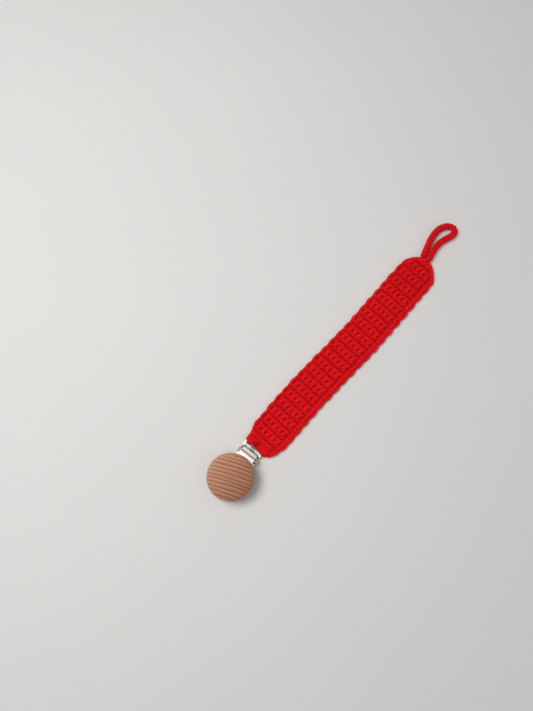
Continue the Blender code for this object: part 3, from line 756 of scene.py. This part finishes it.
def far_edge(strands):
    """The rim of the far end, and the top chain that runs on to the cord loop."""
    for height in (0.50, -0.50):
        for inset, last in FAR_RIMS:
            for side in (-1, 1):
                rim = [(s, side * (float(half_width(s)) - inset), height)
                       for s in np.linspace(FAR_RIM_FROM + inset, last, 14)]
                strands.add(on_strap(rim), YARN_R)
        for inset in FAR_ARC_INSETS:
            strands.add(on_strap([(s - inset, w, height) for s, w in FAR_ARC]), YARN_R)
    # Painted highlight: this chain's links are painted paler.
    chain_line(strands, TOP_CHAIN, pitch=2.3, radius=0.62, spread=0.62, lift=0.95, shade=0.12)


# ---- the cord loop ---------------------------------------------------------------------
# One side of a link of the seam's chain: (share of the link, degrees off the seam, how far out).
SEAM_LINK = ((-0.45, 4, -0.20), (-0.1, 16, 0.30), (0.35, 26, 0.44), (0.75, 18, 0.20),
             (1.0, 6, -0.30))


def cord_line():
    """The cord's centre line, in metres."""
    flat = np.array([(x, y, CORD_D / 2) for x, y in CORD_ROUTE])
    return smooth_line(flat, 0.0004)


def cord_mesh(strands, line):
    """A crocheted cord: rings of two-ply yarn round a core, and a chain along its seam."""
    lengths = lengths_along(line)
    heading = np.gradient(line, axis=0)
    heading /= np.linalg.norm(heading, axis=1)[:, None]
    sideways = np.cross(UP, heading)
    sideways /= np.linalg.norm(sideways, axis=1)[:, None]
    total = lengths[-1]

    def at(distance, angle, radius):
        """A point round the cord: its angle is in degrees from straight up, to the outer side."""
        here, side = (
            np.array([np.interp(distance, lengths, table[:, k]) for k in range(3)])
            for table in (line, sideways))
        side /= np.linalg.norm(side)
        return here + radius * (sin(radians(angle)) * side + cos(radians(angle)) * UP)

    turns = int(round(total / CORD_PITCH))
    pitch = total / turns
    reach = CORD_D * 500 - RING_DEPTH
    for turn in range(turns):
        start = (turn + 0.5) * pitch + 0.05 * RANDOM.normal()
        swell = 1 + 0.04 * RANDOM.normal()
        from_end = min(start, total - start)
        taper = min(1.0, CORD_TAPER + (1 - CORD_TAPER) * from_end / TAPER_LENGTH)
        seam = SEAM_FROM + SEAM_TURN * turn / turns + 4 * RANDOM.normal()
        for ply in (-1, 1):
            knots = []
            for share in np.linspace(0.0, 1.0, 11):
                ahead = 0.55 * (1 - abs(2 * share - 1)) - 0.32 + 0.17 * ply * sin(pi * share)
                bulge = -0.45 if share in (0.0, 1.0) else 0.02
                angle = seam + RING_GAP + (360 - 2 * RING_GAP) * share
                knots.append(at(start + ahead * pitch, angle, taper * (reach + bulge)))
            strands.add(knots, RING_R * swell)
        for side in (-1, 1):
            knots = [at(start + share * pitch, seam + side * spread, taper * (reach + bulge))
                     for share, spread, bulge in SEAM_LINK]
            strands.add(knots, LINK_R)
    strands.add([at(d, 0.0, 0.0) for d in np.linspace(0.0, total, 60)], CORD_CORE_R)


# ---- the wooden disc -------------------------------------------------------------------
def make_disc(material):
    """The disc with rounded rims, a flat face and a recess for the lever below."""
    radius = (DISC_HIGH[0] - DISC_LOW[0]) / 2
    low, high = DISC_LOW[2], DISC_HIGH[2]
    profile = [(radius - LOW_ROUND * (1 - cos(angle)), low + LOW_ROUND * (1 + sin(angle)))
               for angle in np.linspace(-pi / 2, 0, 7)]
    profile += [(radius - TOP_ROUND * (1 - cos(angle)), high - TOP_ROUND * (1 - sin(angle)))
                for angle in np.linspace(0, pi / 2, 11)]
    profile += [(share * (radius - TOP_ROUND), high) for share in (0.8, 0.55, 0.3, 0.1)]
    angles = 2 * pi * np.arange(DISC_SIDES) / DISC_SIDES
    points = [(r * cos(a), r * sin(a), z) for r, z in profile for a in angles]
    faces = []
    for ring in range(len(profile) - 1):
        for i in range(DISC_SIDES):
            a, b = ring * DISC_SIDES + i, ring * DISC_SIDES + (i + 1) % DISC_SIDES
            faces.append((a, b, b + DISC_SIDES, a + DISC_SIDES))
    faces.append(tuple(range(DISC_SIDES))[::-1])
    faces.append(tuple(range((len(profile) - 1) * DISC_SIDES, len(profile) * DISC_SIDES)))
    mesh = bpy.data.meshes.new("beech_disc")
    mesh.from_pydata(points, [], faces)
    disc = link(bpy.data.objects.new("beech_disc", mesh))
    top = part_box("lever")[1][2] + RECESS_GAP
    outline = [(RECESS_R * cos(a), RECESS_R * sin(a))
               for a in np.linspace(radians(46), radians(314), 60)]
    outline += [(RECESS_R + 0.0001, -RECESS_NECK), (RECESS_REACH, -RECESS_NECK),
                (RECESS_REACH, RECESS_NECK), (RECESS_R + 0.0001, RECESS_NECK)]
    count = len(outline)
    cut_points = [(x, y, z) for z in (low - 0.002, top) for x, y in outline]
    cut_faces = [tuple(range(count))[::-1], tuple(range(count, 2 * count))]
    cut_faces += [(i, (i + 1) % count, (i + 1) % count + count, i + count) for i in range(count)]
    cut_mesh = bpy.data.meshes.new("recess")
    cut_mesh.from_pydata(cut_points, [], cut_faces)
    cutter = link(bpy.data.objects.new("recess", cut_mesh))
    modifier = disc.modifiers.new("recess", "BOOLEAN")
    modifier.operation = "DIFFERENCE"
    modifier.object = cutter
    bpy.context.view_layer.update()
    graph = bpy.context.evaluated_depsgraph_get()
    result = bpy.data.meshes.new_from_object(disc.evaluated_get(graph))
    disc.modifiers.clear()
    disc.data = result
    bpy.data.objects.remove(cutter, do_unlink=True)
    result.shade_smooth()
    result.set_sharp_from_angle(angle=radians(40))
    result.materials.clear()
    result.materials.append(material)
    return disc


# ---- stage -----------------------------------------------------------------------------
def make_floor():
    """A plain sheet of paper, wider than any view."""
    mesh = bpy.data.meshes.new("floor")
    corners = [(x * FLOOR_HALF, y * FLOOR_HALF, 0) for x, y in ((-1, -1), (1, -1), (1, 1), (-1, 1))]
    mesh.from_pydata(corners, [], [(0, 1, 2, 3)])
    floor = link(bpy.data.objects.new("floor", mesh))
    floor.location.z = -FLOOR_LOW
    mesh.materials.append(floor_material())


def area_light(name, place, aim, size, power, colour):
    """A round soft light that looks at aim."""
    data = bpy.data.lights.new(name, "AREA")
    data.shape = "DISK"
    data.size = size
    data.energy = power
    data.color = colour
    lamp = link(bpy.data.objects.new(name, data))
    lamp.location = place
    lamp.rotation_euler = (Vector(aim) - Vector(place)).to_track_quat("-Z", "Y").to_euler()


def make_lights():
    """A soft window behind the object, as in the photograph, and a pale room around it."""
    aim = (0.10, 0.0, 0.0)
    area_light("window", (-0.04, 0.33, 0.66), aim, 0.40, 3.4, (1.0, 0.985, 0.96))
    area_light("fill", (0.40, -0.50, 0.60), aim, 0.8, 0.3, (1.0, 0.98, 0.96))
    area_light("ceiling", (0.01, 0.06, 0.90), (0.02, 0.0, 0.0), 0.26, 0.07, (1.0, 0.99, 0.98))
    world = bpy.data.worlds.new("studio")
    world.use_nodes = True
    tree = world.node_tree
    place = tree.nodes.new("ShaderNodeTexCoord")
    parts = tree.nodes.new("ShaderNodeSeparateXYZ")
    ramp = tree.nodes.new("ShaderNodeValToRGB")
    tree.links.new(place.outputs["Generated"], parts.inputs[0])
    tree.links.new(parts.outputs["Z"], ramp.inputs["Fac"])
    tree.links.new(ramp.outputs["Color"], tree.nodes["Background"].inputs["Color"])
    stops = ramp.color_ramp.elements
    stops[0].position, stops[0].color = 0.0, (0.62, 0.62, 0.63, 1.0)
    stops[1].position, stops[1].color = 0.80, (0.95, 0.94, 0.93, 1.0)
    tree.nodes["Background"].inputs["Strength"].default_value = WORLD_STRENGTH
    bpy.context.scene.world = world
    bpy.context.scene.view_settings.view_transform = "Standard"


# ---- assembly --------------------------------------------------------------------------
def dress_metal():
    """Materials for the CAD nodes that are shown as they are."""
    looks = {
        "back_plate": metal_material("nickel_plate", (0.90, 0.88, 0.84), 0.20, 0.30),
        "clamp_jaw": metal_material("satin_plate", (0.52, 0.51, 0.48), 0.36, 0.55),
        "pivot_pin": metal_material("rivet", (0.86, 0.84, 0.80), 0.22, 0.20),
        "lever": metal_material("bright_lever", (0.94, 0.92, 0.89), 0.27, 0.20),
        "jaw_pad": plastic_material(),
    }
    for name, look in looks.items():
        node = NODES[name]
        node.data.materials.clear()
        node.data.materials.append(look)


def blend_on_strap(piece):
    """Bake a piece's placing into its mesh."""
    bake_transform(piece)


def make_strap(yarn, shade):
    """The strap: an inner sheet, both faces' stitches, the edges, and its hold on the clip."""
    core = strap_core(shade)
    top, under, edges = Strands(crown_shading=0.10), Strands(7, 0.65, 0.10), Strands(crown_shading=0.10)
    wraps, corner = Strands(crown_shading=0.06), Strands()
    stitch_face(top, 1)
    stitch_face(under, -1)
    side_edges(edges)
    border = [(s, EDGE_CHAIN_INSET - float(half_width(s)), 0.0)
              for s in np.linspace(*EDGE_CHAIN_SPAN, 60)]
    # Painted highlight: the chain's links are painted a little paler.
    chain_line(edges, border, EDGE_CHAIN, radius=0.68, spread=0.60, lift=1.14, shade=0.06)
    near_edge(edges)
    far_edge(edges)
    wrap_strands(wraps)
    corner_strands(corner)
    pieces = [top.object("strap_stitches_top", yarn), under.object("strap_stitches_under", yarn),
              edges.object("strap_edges", yarn)]
    bar_wraps = wraps.object("strap_bar_wraps", yarn)
    corner_loops = corner.object("strap_corner_loops", yarn)
    for piece in [core] + pieces:
        blend_on_strap(piece)
    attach(bar_wraps, "strap_near_half")
    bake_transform(corner_loops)
    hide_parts("strap_near", "strap_far")


def make_loop(yarn):
    """The cord loop at the strap's far end."""
    line = cord_line()
    strands = Strands(10, 0.45)
    cord_mesh(strands, line * 1000)
    loop = strands.object("loop_cord", yarn)
    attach(loop, "strap_far_half")
    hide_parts("cord_loop")


make_camera()
RED = yarn_material("red_yarn", (0.45, 0.0002, 0.0006), (0.96, 0.011, 0.019))
# A darker copy of the red yarn for the inner sheet: painted shade in the holes and grooves.
RED_SHADE = yarn_material("red_yarn_painted_shade", (0.22, 0.0003, 0.0006), (0.56, 0.001, 0.002))
make_loop(RED)
make_floor()
make_lights()
dress_metal()
beech = make_disc(beech_material())
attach(beech, "lever_arm")
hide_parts("wooden_disc")
make_strap(RED, RED_SHADE)
